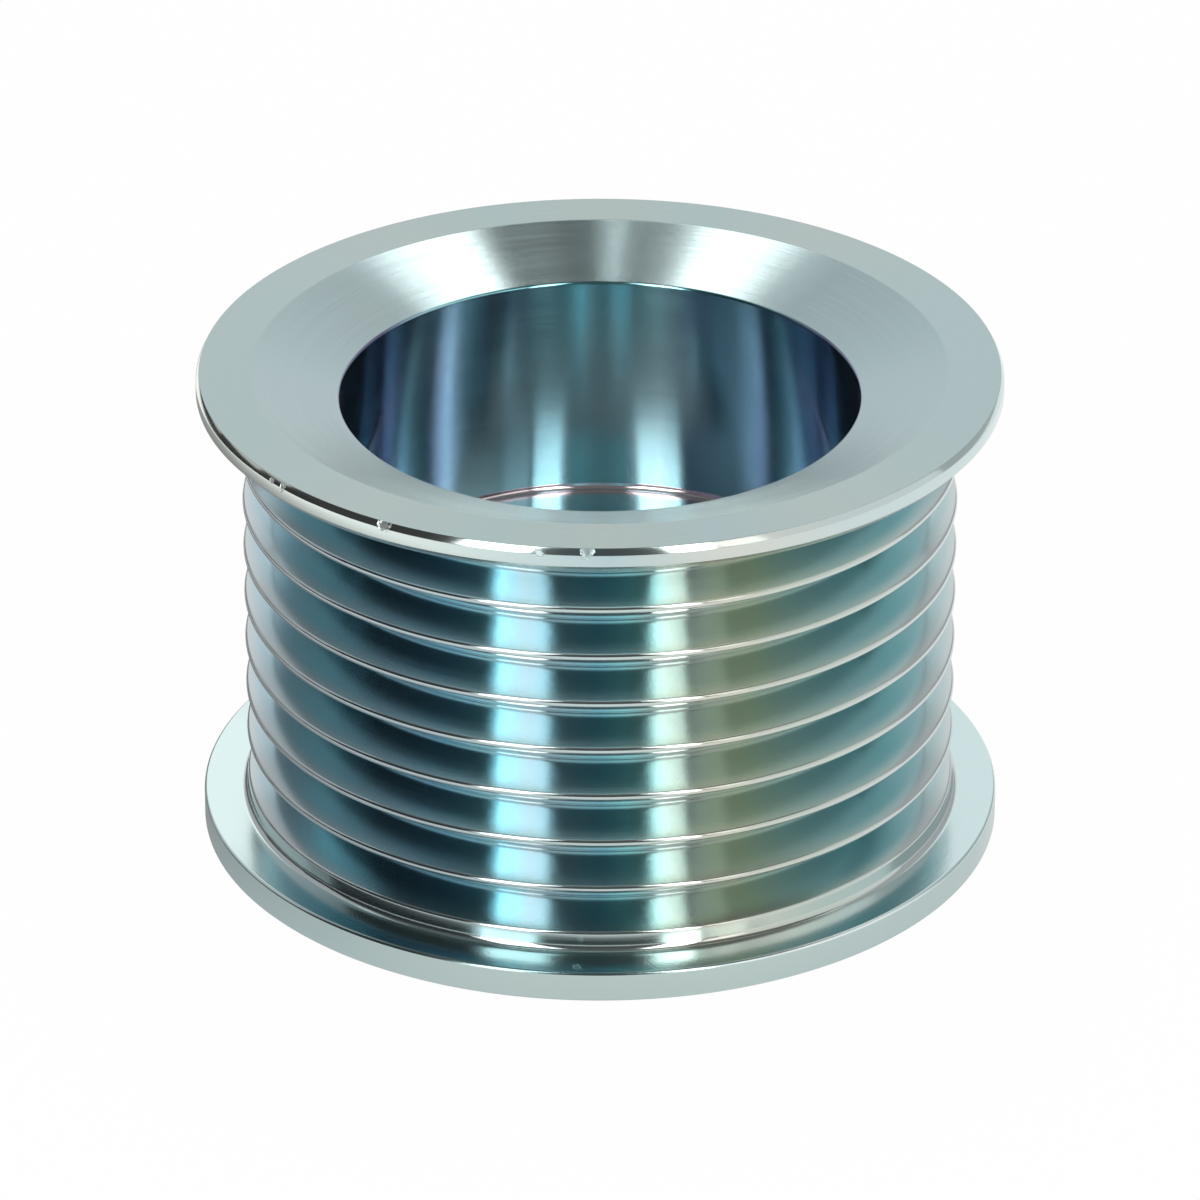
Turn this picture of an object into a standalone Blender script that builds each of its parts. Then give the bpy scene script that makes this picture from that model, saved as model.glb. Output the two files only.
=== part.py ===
# Ribbed fan belt pulley, turned from one piece of steel bar and zinc plated.
# Metres, +Z up. It stands on its rear flange: the axis is Z and the rear face is at Z = 0.

import math

import bmesh
import bpy
from mathutils import Vector

# Belt grooves: a ribbed belt's standard pitch and angle.
# A rib's crest is its two roundings and the narrow flat between them
GROOVE_COUNT = 8
GROOVE_PITCH = 0.00356
GROOVE_ANGLE_DEG = 40.0
CREST_RADIUS = 0.02485
CREST_FLAT = 0.00006
CREST_ROUNDING = 0.00025
ROOT_ROUNDING = 0.0005

# Rear flange, which the pulley stands on. Its lip is its height over the crests
REAR_FLANGE_LIP = 0.0031
REAR_FLANGE_THICKNESS = 0.00222
REAR_FLANGE_ROUNDING = 0.00026
REAR_EDGE_BREAK = 0.00015
REAR_LAND = 0.00137
REAR_LAND_FILLET = 0.0005

# Front flange: the last groove's flank runs on to its rim
FRONT_FLANGE_LIP = 0.00307
FRONT_RIM_WIDTH = 0.00083
FRONT_INNER_CHAMFER = 0.00065
FRONT_OUTER_CHAMFER_HEIGHT = 0.00044
FRONT_OUTER_CHAMFER_DEPTH = 0.00023

# Front face and dished mouth, and the counterbore that takes the shaft nut.
# The rim wall is what the counterbore leaves under the bottoms of the grooves
FRONT_FACE_WIDTH = 0.00359
MOUTH_DEPTH = 0.0021
RIM_WALL = 0.00348
LIP_ROUNDING = 0.00015
FLOOR_FILLET = 0.0004

# Hub web: the shaft's hole and its chamfers
WEB_THICKNESS = 0.01606
SHAFT_HOLE_RADIUS = 0.0085
SHAFT_HOLE_CHAMFER = 0.0005

# Facets
TURN_STEPS = 64
FINE_STEPS = 1
ROOT_STEPS = 3
FILLET_STEPS = 2
SHARP_ANGLE_DEG = 20.0


def rounded(before, corner, after, radius, steps):
    """Points of an arc that rounds a corner between two straight runs, both tangent points included."""
    back = (before - corner).normalized()
    ahead = (after - corner).normalized()
    half_angle = back.angle(ahead) / 2
    centre = corner + (back + ahead).normalized() * (radius / math.sin(half_angle))
    tangent = radius / math.tan(half_angle)
    start = corner + back * tangent - centre
    end = corner + ahead * tangent - centre
    sweep = start.angle(end)
    points = []
    for step in range(steps + 1):
        share = step / steps
        along = start * math.sin((1 - share) * sweep) + end * math.sin(share * sweep)
        points.append(centre + along / math.sin(sweep))
    return points


def flank_slope():
    """Rise along the axis of a groove's flank, for each unit of depth."""
    return math.tan(math.radians(GROOVE_ANGLE_DEG) / 2)


def crest_width():
    """Width of a rib's crest between its sharp corners."""
    half_corner = math.radians(90 + GROOVE_ANGLE_DEG / 2) / 2
    return CREST_FLAT + 2 * CREST_ROUNDING / math.tan(half_corner)


def groove_mouth():
    """Width of a groove between the sharp corners of its ribs."""
    return GROOVE_PITCH - crest_width()


def apex_radius():
    """Radius at which a groove's two flanks would meet."""
    return CREST_RADIUS - groove_mouth() / 2 / flank_slope()


def root_radius():
    """Radius at the bottom of a groove's rounded root."""
    half_angle = math.radians(GROOVE_ANGLE_DEG) / 2
    return apex_radius() + ROOT_ROUNDING / math.sin(half_angle) - ROOT_ROUNDING


def groove_corners():
    """Sharp corners of the grooves from the rear land upwards, and the height at the last groove's mouth."""
    mouth = groove_mouth()
    height = REAR_FLANGE_THICKNESS + REAR_LAND
    corners = []
    for groove in range(GROOVE_COUNT):
        if groove > 0:
            corners.append((CREST_RADIUS, height, CREST_ROUNDING, FINE_STEPS))
            height += crest_width()
        corners.append((CREST_RADIUS, height, CREST_ROUNDING, FINE_STEPS))
        corners.append((apex_radius(), height + mouth / 2, ROOT_ROUNDING, ROOT_STEPS))
        height += mouth
    return corners, height


def front_flange_corners(mouth_height):
    """Sharp corners of the front flange, from the end of the last groove's flank to the top face."""
    rim_radius = CREST_RADIUS + FRONT_FLANGE_LIP
    flank_end = rim_radius - FRONT_INNER_CHAMFER
    flank_top = mouth_height + (flank_end - CREST_RADIUS) * flank_slope()
    rim_bottom = flank_top + FRONT_INNER_CHAMFER
    rim_top = rim_bottom + FRONT_RIM_WIDTH
    top = rim_top + FRONT_OUTER_CHAMFER_HEIGHT
    return [
        (flank_end, flank_top, 0, 0),
        (rim_radius, rim_bottom, 0, 0),
        (rim_radius, rim_top, 0, 0),
        (rim_radius - FRONT_OUTER_CHAMFER_DEPTH, top, 0, 0),
    ]


def section_corners():
    """Sharp corners of the turned section, as radius, height, rounding and steps, anticlockwise."""
    grooves, mouth_height = groove_corners()
    front_flange = front_flange_corners(mouth_height)
    face_edge, top = front_flange[-1][:2]
    rear_radius = CREST_RADIUS + REAR_FLANGE_LIP
    counterbore_radius = root_radius() - RIM_WALL
    hole_mouth = SHAFT_HOLE_RADIUS + SHAFT_HOLE_CHAMFER
    rear_flange = [
        (hole_mouth, 0, 0, 0),
        (rear_radius - REAR_EDGE_BREAK, 0, 0, 0),
        (rear_radius, REAR_EDGE_BREAK, 0, 0),
        (rear_radius, REAR_FLANGE_THICKNESS, REAR_FLANGE_ROUNDING, FILLET_STEPS),
        (CREST_RADIUS, REAR_FLANGE_THICKNESS, REAR_LAND_FILLET, FILLET_STEPS),
    ]
    inside = [
        (face_edge - FRONT_FACE_WIDTH, top, 0, 0),
        (counterbore_radius, top - MOUTH_DEPTH, LIP_ROUNDING, FINE_STEPS),
        (counterbore_radius, WEB_THICKNESS, FLOOR_FILLET, FILLET_STEPS),
        (hole_mouth, WEB_THICKNESS, 0, 0),
        (SHAFT_HOLE_RADIUS, WEB_THICKNESS - SHAFT_HOLE_CHAMFER, 0, 0),
        (SHAFT_HOLE_RADIUS, SHAFT_HOLE_CHAMFER, 0, 0),
    ]
    return rear_flange + grooves + front_flange + inside


def section_points():
    """The section as points in the XZ plane, with its corners rounded."""
    corners = section_corners()
    places = [Vector((radius, 0, height)) for radius, height, _, _ in corners]
    points = []
    for index, (_, _, rounding, steps) in enumerate(corners):
        if rounding > 0:
            after = places[(index + 1) % len(places)]
            points += rounded(places[index - 1], places[index], after, rounding, steps)
        else:
            points.append(places[index])
    return points


def zinc_plated_steel():
    """Bright steel with the faint blue of a clear-passivated zinc plate."""
    material = bpy.data.materials.new("zinc_plated_steel")
    material.use_nodes = True
    shader = material.node_tree.nodes["Principled BSDF"]
    shader.inputs["Base Color"].default_value = (0.56, 0.66, 0.69, 1.0)
    shader.inputs["Metallic"].default_value = 1.0
    shader.inputs["Roughness"].default_value = 0.22
    return material


def turned_pulley():
    """The whole pulley: its section, spun once about Z."""
    shape = bmesh.new()
    ring = [shape.verts.new(point) for point in section_points()]
    edges = [shape.edges.new((ring[index - 1], ring[index])) for index in range(len(ring))]
    bmesh.ops.spin(
        shape,
        geom=ring + edges,
        cent=(0, 0, 0),
        axis=(0, 0, 1),
        angle=2 * math.pi,
        steps=TURN_STEPS,
        use_merge=True,
    )
    bmesh.ops.recalc_face_normals(shape, faces=shape.faces)
    mesh = bpy.data.meshes.new("pulley")
    shape.to_mesh(mesh)
    shape.free()
    mesh.shade_smooth()
    mesh.set_sharp_from_angle(angle=math.radians(SHARP_ANGLE_DEG))
    mesh.materials.append(zinc_plated_steel())
    pulley = bpy.data.objects.new("pulley", mesh)
    bpy.context.collection.objects.link(pulley)
    return pulley


def main():
    for leftover in list(bpy.data.objects):
        bpy.data.objects.remove(leftover, do_unlink=True)
    turned_pulley()


main()
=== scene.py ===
# Fan belt pulley: its turned, zinc plated surface, in a plain studio.
import math

import bmesh
import bpy
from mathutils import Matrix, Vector


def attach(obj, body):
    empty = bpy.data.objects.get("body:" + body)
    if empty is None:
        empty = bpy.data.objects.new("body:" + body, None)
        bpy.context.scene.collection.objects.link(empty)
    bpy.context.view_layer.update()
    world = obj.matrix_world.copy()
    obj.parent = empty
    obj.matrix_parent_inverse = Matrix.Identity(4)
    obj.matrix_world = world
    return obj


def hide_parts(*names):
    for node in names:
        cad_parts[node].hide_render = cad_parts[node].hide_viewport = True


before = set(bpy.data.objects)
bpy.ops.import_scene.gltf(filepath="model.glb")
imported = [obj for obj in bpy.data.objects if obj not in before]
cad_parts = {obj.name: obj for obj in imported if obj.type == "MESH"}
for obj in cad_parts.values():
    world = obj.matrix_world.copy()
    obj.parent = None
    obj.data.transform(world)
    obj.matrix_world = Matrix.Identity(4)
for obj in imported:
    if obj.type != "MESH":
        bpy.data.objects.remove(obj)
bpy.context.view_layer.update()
mm = 0.001
print("frame loaded:", sorted(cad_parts))


# The turned piece, in millimetres. Radii are from the axis and heights from the rear face.
pulley = {
    "grooves": 8,
    "pitch": 3.56,
    "grooveAngle": 40,
    "crestRadius": 24.85,
    "crestWidth": 0.41,
    "crestBevel": 0.175,
    "grooveDepth": 3.365,
    "rootFlat": 0.35,  # half the flat that the root's bevel rounds off
    "rootBevel": 0.34,
    "rearRadius": 27.95,
    "rearThickness": 2.22,
    "rearEdgeBreak": 0.15,
    "rearRounding": 0.26,
    "rearLand": 1.37,
    "rearFillet": 0.5,
    "rimRadius": 27.92,
    "rimWidth": 0.83,
    "innerChamfer": 0.65,
    "outerChamferHeight": 0.44,
    "outerChamferDepth": 0.23,
    "faceWidth": 3.59,
    "mouthDepth": 2.1,
    "boreRadius": 18.0,
    "lipBevel": 0.15,
    "footBevel": 0.42,
    "webHeight": 16.06,
    "holeRadius": 8.5,
    "holeChamfer": 0.5,
    "turnSteps": 360,
    "sharpAngle": 24,
}


def sectionCorners(size):
    # each corner is its radius, its height, its bevel and the bevel's segments
    slope = math.tan(math.radians(size["grooveAngle"] / 2))
    crest = size["crestRadius"]
    root = crest - size["grooveDepth"]
    mouth = size["pitch"] - size["crestWidth"]
    rear = size["rearRadius"]
    thick = size["rearThickness"]
    holeMouth = size["holeRadius"] + size["holeChamfer"]
    corners = [
        (holeMouth, 0, 0.05, 2),
        (rear - size["rearEdgeBreak"], 0, 0.04, 2),
        (rear, size["rearEdgeBreak"], 0.04, 2),
        (rear, thick, size["rearRounding"], 5),
        (crest, thick, size["rearFillet"], 6),
    ]
    height = thick + size["rearLand"]
    for groove in range(size["grooves"]):
        if groove > 0:
            corners.append((crest, height, size["crestBevel"], 4))
            height += size["crestWidth"]
        corners.append((crest, height, size["crestBevel"], 4))
        middle = height + mouth / 2
        corners.append((root, middle - size["rootFlat"], size["rootBevel"], 5))
        corners.append((root, middle + size["rootFlat"], size["rootBevel"], 5))
        height += mouth
    rim = size["rimRadius"]
    flankEnd = rim - size["innerChamfer"]
    rimBottom = height + (flankEnd - crest) * slope + size["innerChamfer"]
    rimTop = rimBottom + size["rimWidth"]
    top = rimTop + size["outerChamferHeight"]
    faceEdge = rim - size["outerChamferDepth"]
    corners += [
        (flankEnd, rimBottom - size["innerChamfer"], 0.05, 2),
        (rim, rimBottom, 0.04, 2),
        (rim, rimTop, 0.04, 2),
        (faceEdge, top, 0.03, 3),
        (faceEdge - size["faceWidth"], top, 0.08, 3),
        (size["boreRadius"], top - size["mouthDepth"], size["lipBevel"], 4),
        (size["boreRadius"], size["webHeight"], size["footBevel"], 5),
        (holeMouth, size["webHeight"], 0.05, 2),
        (size["holeRadius"], size["webHeight"] - size["holeChamfer"], 0.05, 2),
        (size["holeRadius"], size["holeChamfer"], 0.05, 2),
    ]
    return corners


def finishAt(spot, size, top):
    # which finish a face has, from its radius and height in millimetres. The margins take in the bevels
    radius = math.hypot(spot.x, spot.y) / mm
    height = spot.z / mm
    if height > top - 0.01:
        return "face"
    if height > top - size["mouthDepth"] + 0.05 and radius < size["crestRadius"] - 0.7:
        return "mouthCone"
    if radius < size["boreRadius"] + 0.2:
        return "bore" if height > size["webHeight"] + size["footBevel"] else "seat"
    if height > top - size["outerChamferHeight"] - size["rimWidth"] - 0.02:
        return "rim"
    if radius > size["rearRadius"] - 0.03 and height < size["rearThickness"]:
        return "rearRim"
    if radius > size["crestRadius"] + 0.4 and height < size["rearThickness"] + 0.02:
        return "rearFlange"
    return "grooves"


def turnPulley(size, finishes):
    corners = sectionCorners(size)
    shape = bmesh.new()
    ring = [shape.verts.new((radius * mm, 0, height * mm)) for radius, height, _, _ in corners]
    for index in range(len(ring)):
        shape.edges.new((ring[index - 1], ring[index]))
    for bevel, segments in sorted({corner[2:] for corner in corners}):
        bmesh.ops.bevel(
            shape,
            geom=[vert for vert, corner in zip(ring, corners) if corner[2:] == (bevel, segments)],
            offset=bevel * mm,
            offset_type="OFFSET",
            affect="VERTICES",
            segments=segments,
            profile=0.5,
            material=-1,
        )
    print("section points:", len(shape.verts))
    bmesh.ops.spin(
        shape,
        geom=shape.verts[:] + shape.edges[:],
        cent=(0, 0, 0),
        axis=(0, 0, 1),
        angle=2 * math.pi,
        steps=size["turnSteps"],
        use_merge=True,
    )
    bmesh.ops.recalc_face_normals(shape, faces=shape.faces[:])
    top = max(vert.co.z for vert in shape.verts) / mm
    names = list(finishes)
    for face in shape.faces:
        face.material_index = names.index(finishAt(face.calc_center_median(), size, top))
    mesh = bpy.data.meshes.new("turnedPulley")
    shape.to_mesh(mesh)
    shape.free()
    mesh.shade_smooth()
    mesh.set_sharp_from_angle(angle=math.radians(size["sharpAngle"]))
    for finish in finishes.values():
        mesh.materials.append(finish)
    piece = bpy.data.objects.new("turnedPulley", mesh)
    bpy.context.collection.objects.link(piece)
    shading = piece.modifiers.new("evenShading", "WEIGHTED_NORMAL")  # keeps the flanks' reflections straight
    shading.keep_sharp = True
    return piece


def aimed(angle, elevation, distance):
    # angle 0 is the camera's side of the axis, and angles grow to the right
    a, e = math.radians(angle), math.radians(elevation)
    return Vector((math.sin(a) * math.cos(e), -math.cos(a) * math.cos(e), math.sin(e))) * distance


def addNode(tree, kind, inputs, **settings):
    node = tree.nodes.new(kind)
    for name, value in settings.items():
        setattr(node, name, value)
    for socket, value in inputs.items():
        if isinstance(value, bpy.types.NodeSocket):
            tree.links.new(value, node.inputs[socket])
        else:
            node.inputs[socket].default_value = value
    return node


def maths(tree, operation, *values):
    return addNode(tree, "ShaderNodeMath", dict(enumerate(values)), operation=operation).outputs[0]


def remap(tree, value, low, high, newLow, newHigh):
    inputs = {"Value": value, "From Min": low, "From Max": high, "To Min": newLow, "To Max": newHigh}
    return addNode(tree, "ShaderNodeMapRange", inputs, interpolation_type="SMOOTHSTEP").outputs[0]


def colourRamp(tree, value, stops):
    node = addNode(tree, "ShaderNodeValToRGB", {"Fac": value})
    elements = node.color_ramp.elements
    while len(elements) < len(stops):
        elements.new(0.5)
    for element, (position, colour) in zip(elements, stops):
        element.position = position
        element.color = (*colour, 1)
    return node.outputs["Color"]


# The passivation's colours across the piece, partly the plating's own hues and partly painted reflection and
# painted shade: each ramp is made lighter or darker at the angles where the metal mirrors more or less
# light. 0 is its left and 1 its right, seen from the front
filmsAndPaintedLight = {
    "crests": [
        (0.02, (0.62, 0.68, 0.70)),
        (0.20, (0.52, 0.63, 0.66)),
        (0.55, (0.55, 0.65, 0.64)),
        (0.66, (0.64, 0.66, 0.57)),
        (0.80, (0.58, 0.65, 0.60)),
        (0.98, (0.62, 0.68, 0.69)),
    ],
    "grooves": [
        (0.02, (0.45, 0.61, 0.68)),
        (0.07, (0.44, 0.71, 0.79)),
        (0.17, (0.36, 0.51, 0.58)),
        (0.26, (0.39, 0.60, 0.69)),
        (0.33, (0.50, 0.72, 0.77)),
        (0.385, (0.55, 0.625, 0.65)),
        (0.50, (0.41, 0.64, 0.70)),
        (0.545, (0.48, 0.74, 0.76)),
        (0.61, (0.58, 0.64, 0.62)),
        (0.645, (0.50, 0.555, 0.53)),
        (0.72, (0.53, 0.595, 0.51)),
        (0.80, (0.45, 0.565, 0.55)),
        (0.86, (0.39, 0.53, 0.54)),
        (0.94, (0.33, 0.53, 0.55)),
        (0.99, (0.45, 0.61, 0.63)),
    ],
    "bore": [
        (0.01, (0.36, 0.40, 0.52)),
        (0.07, (0.20, 0.19, 0.32)),
        (0.20, (0.41, 0.73, 0.76)),
        (0.32, (0.24, 0.53, 0.59)),
        (0.50, (0.27, 0.56, 0.61)),
        (0.62, (0.39, 0.72, 0.77)),
        (0.70, (0.20, 0.46, 0.51)),
        (0.80, (0.22, 0.46, 0.48)),
        (0.93, (0.18, 0.19, 0.30)),
        (0.99, (0.38, 0.44, 0.56)),
    ],
    "pale": [
        (0.05, (0.44, 0.55, 0.56)),
        (0.22, (0.46, 0.55, 0.54)),
        (0.36, (0.43, 0.55, 0.55)),
        (0.50, (0.46, 0.55, 0.53)),
        (0.64, (0.43, 0.55, 0.56)),
        (0.78, (0.46, 0.55, 0.54)),
        (0.95, (0.43, 0.55, 0.56)),
    ],
    "cone": [
        (0.02, (0.44, 0.55, 0.57)),
        (0.14, (0.44, 0.55, 0.56)),
        (0.30, (0.70, 0.85, 0.85)),
        (0.50, (0.67, 0.86, 0.88)),
        (0.70, (0.70, 0.85, 0.84)),
        (0.86, (0.41, 0.53, 0.55)),
        (0.98, (0.41, 0.53, 0.55)),
    ],
    "seat": [(0.0, (0.92, 0.80, 0.84)), (1.0, (0.95, 0.82, 0.84))],
    "rim": [
        (0.0, (0.87, 0.94, 0.87)),
        (0.3, (0.70, 0.80, 0.77)),
        (0.5, (0.49, 0.63, 0.65)),
        (0.65, (0.66, 0.69, 0.63)),
        (0.8, (0.59, 0.69, 0.69)),
        (1.0, (0.61, 0.72, 0.72)),
    ],
    "rearRim": [(0.0, (0.72, 0.90, 0.92)), (0.5, (0.58, 0.70, 0.67)), (1.0, (0.49, 0.60, 0.60))],
    "rear": [
        (0.03, (0.82, 1.0, 1.0)),
        (0.11, (0.58, 0.72, 0.74)),
        (0.17, (0.35, 0.46, 0.47)),
        (0.50, (0.24, 0.39, 0.40)),
        (0.60, (0.40, 0.52, 0.52)),
        (0.75, (0.95, 1.0, 1.0)),
        (0.95, (0.66, 0.82, 0.83)),
    ],
}

# One entry for each finish on the turned piece, with its tool marks' and its grain's depth in metres
looks = {
    "grooves": {"roughness": 0.13, "anisotropy": 0.9, "streak": 0.5e-6, "grain": 0, "filmAndPaintedLight": "grooves"},
    "face": {"roughness": 0.22, "anisotropy": 0.5, "streak": 2e-6, "grain": 0, "filmAndPaintedLight": "pale"},
    "rim": {"roughness": 0.13, "anisotropy": 0.6, "streak": 0.5e-6, "grain": 0, "filmAndPaintedLight": "rim"},
    "rearRim": {"roughness": 0.20, "anisotropy": 0.4, "streak": 1e-6, "grain": 0, "filmAndPaintedLight": "rearRim"},
    "mouthCone": {"roughness": 0.22, "anisotropy": 1.0, "streak": 8e-6, "grain": 0, "filmAndPaintedLight": "cone"},
    "bore": {"roughness": 0.16, "anisotropy": 1.0, "streak": 1e-6, "grain": 0, "filmAndPaintedLight": "bore"},
    "seat": {"roughness": 0.14, "anisotropy": 1.0, "streak": 1e-6, "grain": 0, "filmAndPaintedLight": "seat"},
    "rearFlange": {"roughness": 0.18, "anisotropy": 0.3, "streak": 1e-6, "grain": 5e-6, "filmAndPaintedLight": "rear"},
}
surface = {
    "markScale": 5000.0,
    "grainScale": 5000.0,
    "unevenness": 0.1,  # the share by which the roughness varies with the tool marks
    "cloudScale": 70.0,
    "cloudShare": 0.06,  # how far the colour ramps' edges wander across the piece
    "crestFade": 1.2,  # millimetres from a crest, over which the crests' colour ramp gives way to the grooves' ramp
}

# Nicks on each finish, as angle in degrees, then radius, height and size in millimetres
nicks = {
    "rim": [
        (-1.7, 27.84, 34.25, 0.50),
        (-8.3, 27.90, 34.08, 0.30),
        (-31.2, 27.84, 34.25, 0.55),
        (-50.0, 27.90, 34.08, 0.35),
        (-52.5, 27.90, 34.08, 0.28),
    ],
    "rearFlange": [(-3.4, 27.1, 2.22, 0.30)],
}
nickShape = {"depth": 0.05, "ragged": 1.0, "core": 1 / 3, "noiseScale": 3000.0, "roughness": 0.4}


def noise(tree, vector, scale, detail):
    inputs = {"Vector": vector, "Scale": scale, "Detail": detail}
    return addNode(tree, "ShaderNodeTexNoise", inputs).outputs["Fac"]


def toolMarks(tree, radius, height, turn):
    # noise that is fine along the section and long round the axis
    marksAt = addNode(tree, "ShaderNodeCombineXYZ", {
        "X": maths(tree, "MULTIPLY", radius, surface["markScale"]),
        "Y": maths(tree, "MULTIPLY", height, surface["markScale"]),
        "Z": turn["X"],
    }).outputs[0]
    return addNode(tree, "ShaderNodeTexNoise", {
        "Vector": marksAt, "W": turn["Y"], "Scale": 1.0, "Detail": 3.0, "Roughness": 0.6,
    }, noise_dimensions="4D").outputs["Fac"]


def nickMask(tree, place, spots):
    # 0 in the middle of each nick and 1 outside them, with ragged edges
    reach = nickShape["ragged"] * mm
    wander = maths(tree, "MULTIPLY_ADD", noise(tree, place, nickShape["noiseScale"], 3.0), reach, -reach / 2)
    mask = 1.0
    for angle, radius, height, size in spots:
        middle = aimed(angle, 0, radius * mm) + Vector((0, 0, height * mm))
        away = addNode(tree, "ShaderNodeVectorMath", {0: place, 1: middle}, operation="DISTANCE")
        edge = maths(tree, "ADD", away.outputs["Value"], wander)
        spot = remap(tree, edge, nickShape["core"] * size * mm, size * mm, 0, 1)
        mask = maths(tree, "MINIMUM", mask, spot)
    return mask


def platedFinish(name, look):
    material = bpy.data.materials.new(name)
    material.use_nodes = True
    tree = material.node_tree
    shader = tree.nodes["Principled BSDF"]
    place = addNode(tree, "ShaderNodeTexCoord", {}).outputs["Object"]
    axes = addNode(tree, "ShaderNodeSeparateXYZ", {0: place}).outputs
    flat = addNode(tree, "ShaderNodeVectorMath", {0: place, 1: (1, 1, 0)}, operation="MULTIPLY").outputs[0]
    radius = addNode(tree, "ShaderNodeVectorMath", {0: flat}, operation="LENGTH").outputs["Value"]
    around = addNode(tree, "ShaderNodeVectorMath", {0: flat}, operation="NORMALIZE").outputs[0]
    turn = addNode(tree, "ShaderNodeSeparateXYZ", {0: around}).outputs

    marks = toolMarks(tree, radius, axes["Z"], turn)
    bumps = [(marks, look["streak"])]
    spread = surface["unevenness"]
    uneven = remap(tree, marks, 0.3, 0.7, look["roughness"] * (1 - spread), look["roughness"] * (1 + spread))
    if look["grain"]:
        bumps.append((noise(tree, place, surface["grainScale"], 2.0), look["grain"]))
    if name in nicks:
        mask = nickMask(tree, place, nicks[name])
        bumps.append((mask, nickShape["depth"] * mm))
        uneven = maths(tree, "MAXIMUM", uneven, remap(tree, mask, 0, 0.8, nickShape["roughness"], 0))
    normal = None
    for height, distance in bumps:
        inputs = {"Height": height, "Distance": distance, "Strength": 1.0}
        if normal is not None:
            inputs["Normal"] = normal
        normal = addNode(tree, "ShaderNodeBump", inputs).outputs[0]
    tree.links.new(normal, shader.inputs["Normal"])
    tree.links.new(uneven, shader.inputs["Roughness"])

    wander = surface["cloudShare"]
    clouds = noise(tree, place, surface["cloudScale"], 2.0)
    cloudy = maths(tree, "MULTIPLY_ADD", clouds, wander, 0.5 - wander / 2)
    # the base colour by angle round the axis: the plating's hues, with painted reflection and painted shade
    across = maths(tree, "MULTIPLY_ADD", turn["X"], 0.5, cloudy)
    colour = colourRamp(tree, across, filmsAndPaintedLight[look["filmAndPaintedLight"]])
    if name == "grooves":
        crest = pulley["crestRadius"]
        depth = remap(tree, radius, crest * mm, (crest - surface["crestFade"]) * mm, 0, 1)
        shallow = colourRamp(tree, across, filmsAndPaintedLight["crests"])
        inputs = {0: depth, 6: shallow, 7: colour}
        colour = addNode(tree, "ShaderNodeMix", inputs, data_type="RGBA").outputs[2]
    tree.links.new(colour, shader.inputs["Base Color"])

    shader.inputs["Metallic"].default_value = 1.0
    shader.inputs["Anisotropic"].default_value = look["anisotropy"]
    shader.inputs["Anisotropic Rotation"].default_value = 0.25
    tangent = addNode(tree, "ShaderNodeTangent", {}, direction_type="RADIAL", axis="Z")
    tree.links.new(tangent.outputs[0], shader.inputs["Tangent"])
    return material


finishes = {name: platedFinish(name, look) for name, look in looks.items()}
piece = turnPulley(pulley, finishes)
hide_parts("pulley")
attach(piece, "root")
print("pulley turned:", len(piece.data.polygons), "faces")


# The studio, in metres and degrees. Angle 0 is the camera's side and angles grow to the right.
studio = {
    "floorSize": 8.0,
    "floorGrey": 0.9,
    "floorRoughness": 0.9,
    "floorShare": 0.97,  # how much of the floor's colour is plain white
    "shadeSpot": (-0.040, 0.030, 0),  # the floor's mirrored white fades in the pulley's shade
    "shadeReach": (0.020, 0.100),
    "shadeShare": 0.25,
    "holeReach": (0.010, 0.014),  # the floor in the shaft hole is in shade too
    "holeShare": 0.6,
    "worldStrength": 0.6,
    "worldSeen": 0.9,  # the world's strength where it is seen, direct or mirrored
    "cardSteps": 12,
    "ceilingHeight": 1.0,
    "ceilingGap": 0.02,  # how far its sheets hang above the panels
}

# Cards round the piece: from angle, to angle, distance, bottom, top, grey
cards = {
    "cameraSide": (-36, 36, 0.95, 0.0, 1.0, 0.10),
    "spillLeft": (-40, -35, 0.93, 0.2, 0.7, 1.3),
    "darkFrontLeft": (-95, -36, 0.95, 0.0, 1.0, 0.045),
    "lowLeftNear": (-102, -80, 0.28, 0.0, 0.105, 0.03),
    "lowLeftMid": (-122, -102, 0.28, 0.0, 0.072, 0.03),
    "lowLeftFar": (-160, -122, 0.28, 0.0, 0.045, 0.03),
    "spillRight": (33, 46, 0.93, 0.2, 0.7, 1.5),
    "paleRight": (36, 104, 0.94, 0.0, 1.0, 0.85),
    "greyRight": (104, 152, 0.60, 0.0, 0.8, 0.50),
    "greyLeft": (-152, -95, 0.60, 0.0, 0.8, 0.50),
}

# Soft boxes: angle, elevation, distance, width, height, watts
softBoxes = {
    "frontLeft": (-28.2, 30, 0.85, 0.250, 0.90, 2.7),
    "frontRight": (25.1, 30, 0.85, 0.165, 0.90, 2.1),
}

# The dark ceiling's two sheets: front edge, back edge, half the width at each, grey
ceilings = {
    "overFront": (-1.0, 0.3, 1.0, 1.0, 0.14),
    "overRear": (0.3, 1.1, 0.415, 0.216, 0.065),
}

# Panels in the ceiling: x, y, turn, width, depth, watts
panels = {
    "rearLeft": (-0.190, 0.66, -14, 0.175, 0.66, 0.85),
    "rearRight": (0.240, 0.66, 14, 0.185, 0.66, 0.90),
    "rearSlit": (-0.02, 0.60, 0, 0.012, 0.42, 0.055),
}


def glow(name, grey):
    material = bpy.data.materials.new(name)
    material.use_nodes = True
    tree = material.node_tree
    tree.nodes.clear()
    light = addNode(tree, "ShaderNodeEmission", {"Color": (grey, grey, grey, 1), "Strength": 1.0})
    addNode(tree, "ShaderNodeOutputMaterial", {"Surface": light.outputs[0]})
    return material


def placeStage(name, shape, material):
    mesh = bpy.data.meshes.new(name)
    shape.to_mesh(mesh)
    shape.free()
    mesh.materials.append(material)
    stage = bpy.data.objects.new(name, mesh)
    bpy.context.collection.objects.link(stage)
    return stage


def hideFromView(stage):
    # a card is there for the metal to mirror, and is outside every picture
    stage.visible_camera = False
    stage.visible_diffuse = False
    stage.visible_shadow = False


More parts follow.
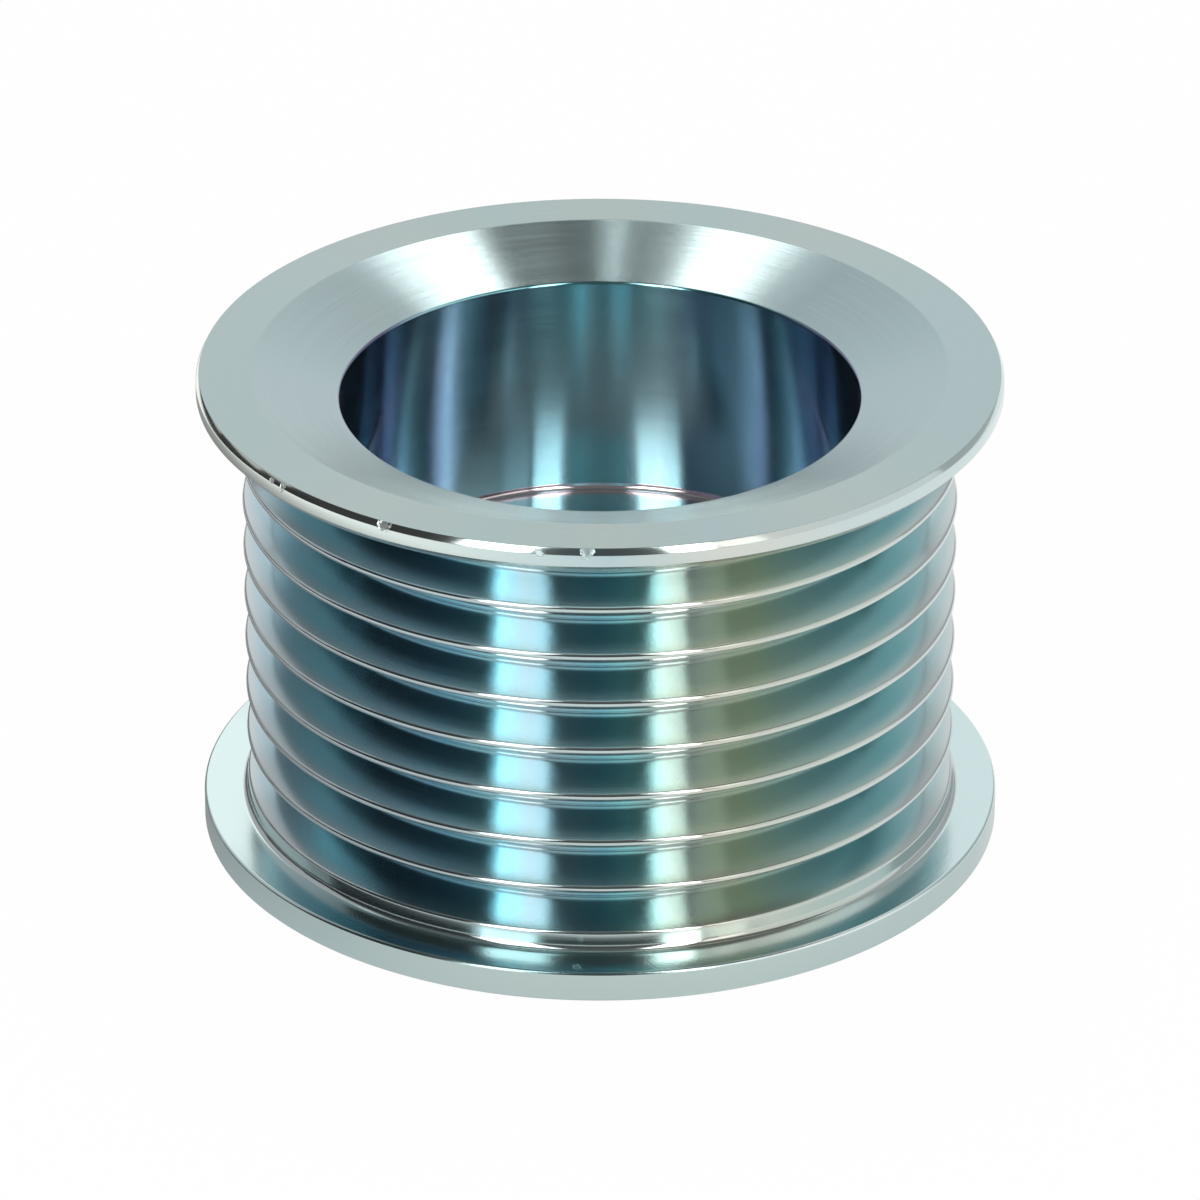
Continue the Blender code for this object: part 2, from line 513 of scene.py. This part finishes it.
def standCard(name, fromAngle, toAngle, distance, bottom, top, grey):
    shape = bmesh.new()
    start = aimed(fromAngle, 0, distance)
    foot = shape.verts.new((start.x, start.y, bottom))
    head = shape.verts.new((start.x, start.y, top))
    edge = shape.edges.new((foot, head))
    bmesh.ops.spin(
        shape,
        geom=[foot, head, edge],
        cent=(0, 0, 0),
        axis=(0, 0, 1),
        angle=math.radians(toAngle - fromAngle),
        steps=studio["cardSteps"],
    )
    hideFromView(placeStage(name, shape, glow(name, grey)))


def hangCeiling(name, front, back, frontHalf, backHalf, grey):
    shape = bmesh.new()
    bmesh.ops.create_grid(shape, x_segments=1, y_segments=1, size=1.0)
    for vert in shape.verts:
        vert.co.x *= backHalf if vert.co.y > 0 else frontHalf
        vert.co.y = back if vert.co.y > 0 else front
        vert.co.z = studio["ceilingHeight"] + studio["ceilingGap"]
    hideFromView(placeStage(name, shape, glow(name, grey)))


def addLight(name, place, target, width, height, watts):
    lamp = bpy.data.lights.new(name, "AREA")
    lamp.shape = "RECTANGLE"
    lamp.size = width
    lamp.size_y = height
    lamp.energy = watts
    light = bpy.data.objects.new(name, lamp)
    light.location = place
    light.rotation_euler = (target - place).to_track_quat("-Z", "Y").to_euler()
    bpy.context.collection.objects.link(light)
    return light


def whiteRays(tree):
    # 1 for what the camera sees, direct or mirrored
    rays = addNode(tree, "ShaderNodeLightPath", {}).outputs
    seen = maths(tree, "MAXIMUM", rays["Is Camera Ray"], rays["Is Glossy Ray"])
    return maths(tree, "MAXIMUM", seen, rays["Is Transmission Ray"])


def floorShade(tree):
    # what the metal mirrors of the floor lies in the pulley's shade, and so does the floor in its shaft hole
    place = addNode(tree, "ShaderNodeTexCoord", {}).outputs["Object"]
    away = addNode(tree, "ShaderNodeVectorMath", {
        0: place, 1: studio["shadeSpot"],
    }, operation="DISTANCE").outputs["Value"]
    shade = remap(tree, away, *studio["shadeReach"], 1 - studio["shadeShare"], 0)
    glossy = addNode(tree, "ShaderNodeLightPath", {}).outputs["Is Glossy Ray"]
    lit = maths(tree, "SUBTRACT", 1.0, maths(tree, "MULTIPLY", shade, glossy))
    middle = addNode(tree, "ShaderNodeVectorMath", {0: place}, operation="LENGTH").outputs["Value"]
    outside = remap(tree, middle, *studio["holeReach"], studio["holeShare"], 1)
    return maths(tree, "MULTIPLY", lit, outside)


def layFloor():
    material = bpy.data.materials.new("floor")
    material.use_nodes = True
    tree = material.node_tree
    shader = tree.nodes["Principled BSDF"]
    grey = studio["floorGrey"]
    shader.inputs["Base Color"].default_value = (grey, grey, grey, 1)
    shader.inputs["Roughness"].default_value = studio["floorRoughness"]
    white = addNode(tree, "ShaderNodeEmission", {"Color": (1, 1, 1, 1), "Strength": 1.0})
    tree.links.new(floorShade(tree), white.inputs["Strength"])
    share = maths(tree, "MULTIPLY", whiteRays(tree), studio["floorShare"])
    mixed = addNode(tree, "ShaderNodeMixShader", {0: share, 1: shader.outputs[0], 2: white.outputs[0]})
    tree.links.new(mixed.outputs[0], tree.nodes["Material Output"].inputs["Surface"])
    shape = bmesh.new()
    bmesh.ops.create_grid(shape, x_segments=1, y_segments=1, size=studio["floorSize"] / 2)
    placeStage("floor", shape, material)


layFloor()
for name, values in cards.items():
    standCard(name, *values)
for name, values in ceilings.items():
    hangCeiling(name, *values)
aimPoint = Vector((0, 0, 0.017))
for name, (angle, elevation, distance, width, height, watts) in softBoxes.items():
    addLight(name, aimed(angle, elevation, distance), aimPoint, width, height, watts)
for name, (x, y, turn, width, depth, watts) in panels.items():
    panel = addLight(name, Vector((x, y, studio["ceilingHeight"])), Vector((x, y, 0)), width, depth, watts)
    panel.rotation_euler = (0, 0, math.radians(turn))

world = bpy.data.worlds.new("studio")
world.use_nodes = True
bpy.context.scene.world = world
backdrop = world.node_tree.nodes["Background"]
backdrop.inputs["Color"].default_value = (1, 1, 1, 1)
seen = whiteRays(world.node_tree)
strength = remap(world.node_tree, seen, 0, 1, studio["worldStrength"], studio["worldSeen"])
world.node_tree.links.new(strength, backdrop.inputs["Strength"])
bpy.context.scene.view_settings.view_transform = "Standard"
print("studio lit")


# The photograph's viewpoint
view = {"elevation": 27.368, "distance": 0.6035, "aimHeight": 0.016297, "lens": 258.597}
camera = bpy.data.cameras.new("camera")
camera.sensor_width = 36
camera.lens = view["lens"]
eye = bpy.data.objects.new("camera", camera)
tilt = math.radians(view["elevation"])
eye.location = (0, -view["distance"] * math.cos(tilt), view["aimHeight"] + view["distance"] * math.sin(tilt))
eye.rotation_euler = (math.pi / 2 - tilt, 0, 0)
bpy.context.collection.objects.link(eye)
bpy.context.scene.camera = eye
print("camera set")
